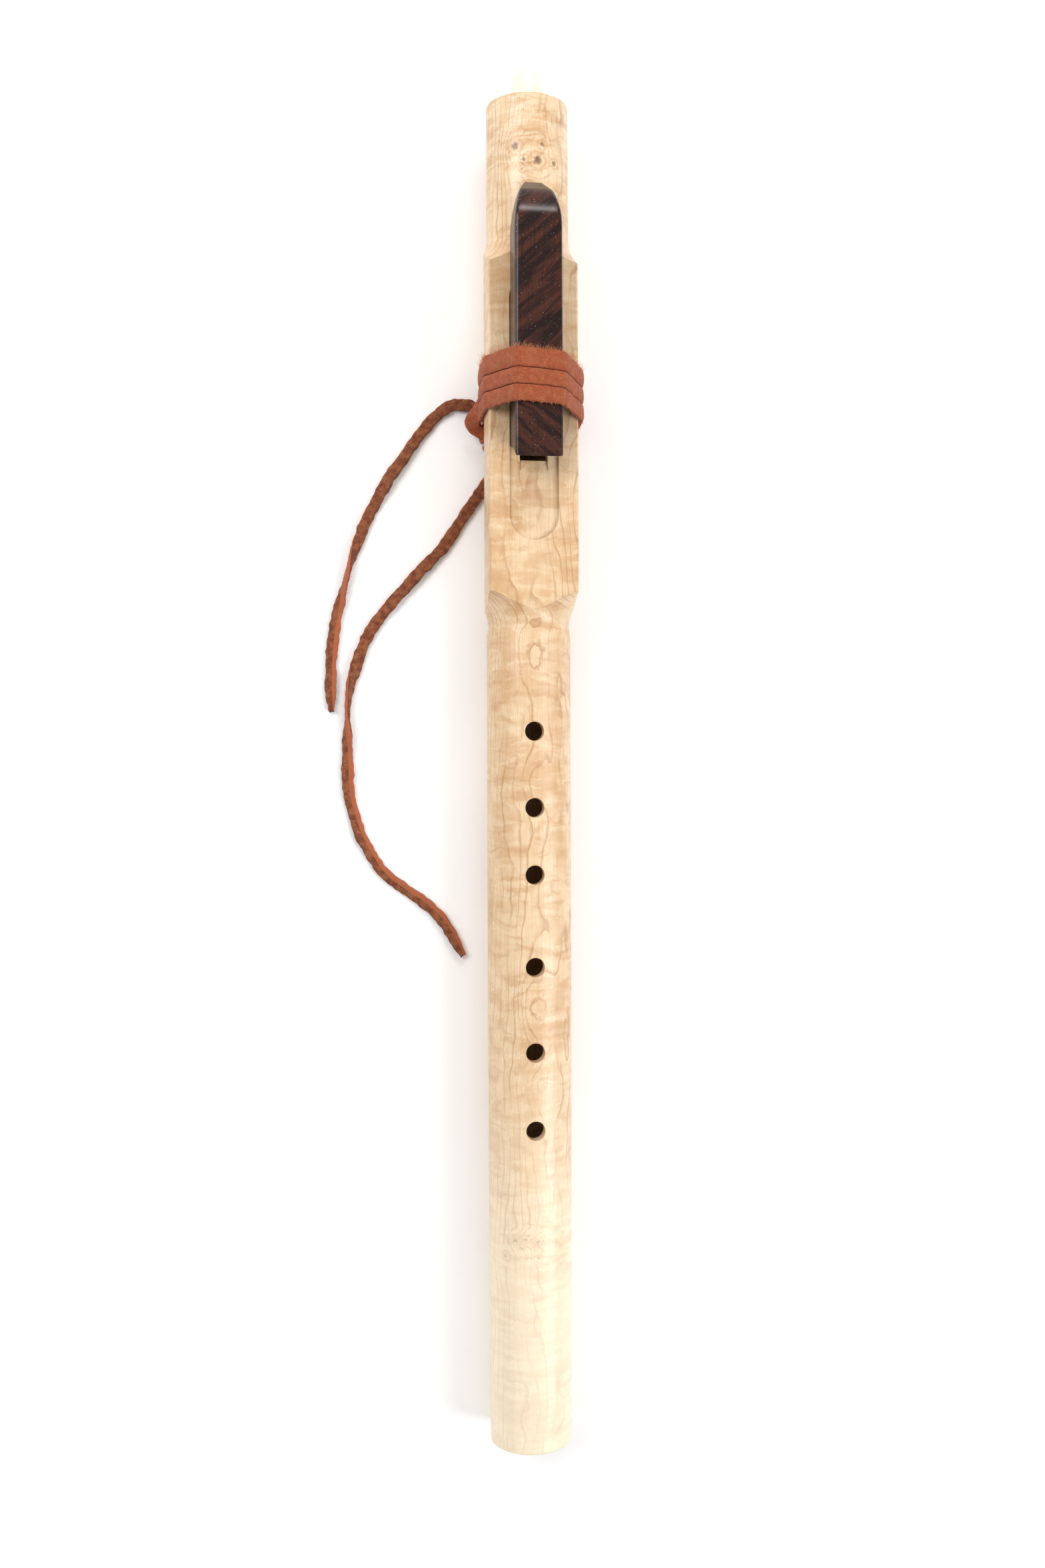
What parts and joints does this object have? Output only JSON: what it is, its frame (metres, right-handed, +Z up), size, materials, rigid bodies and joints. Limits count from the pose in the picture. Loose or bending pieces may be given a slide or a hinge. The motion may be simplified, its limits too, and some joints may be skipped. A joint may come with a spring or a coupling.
{
  "type": "native american flute",
  "caption": "Wooden duct flute with a finger-holed barrel, a flat nest, a tied-on sliding block over its windway, a turned mouthpiece and loose leather thong ends.",
  "frame": {"origin": "centre of the flute's footprint, on the surface that the strap winding lies on", "axes": "+Y along the flute towards the mouthpiece, +Z up through the finger holes and the block, +X to the right seen from above with the mouthpiece away from the viewer"},
  "size_m": [0.099, 0.5356, 0.0533],
  "materials": {
    "figured_maple": "satin lacquer",
    "plain_maple": "satin",
    "rosewood": "satin oiled",
    "tan_leather": "pebbled grain, rough cut edges"
  },
  "bodies": {
    "flute": {"body": "figured_maple", "chamber_stopper": "plain_maple", "mouthpiece": "plain_maple", "strap_winding": "tan_leather", "strap_knot": "tan_leather", "thong_short": "tan_leather", "thong_long": "tan_leather"},
    "block": {"block": "rosewood"}
  },
  "joints": [
    {"name": "block_slide", "type": "slide", "parent": "flute", "child": "block", "axis": [0, 1, 0], "range_m": [-0.003, 0.0025]}
  ]
}
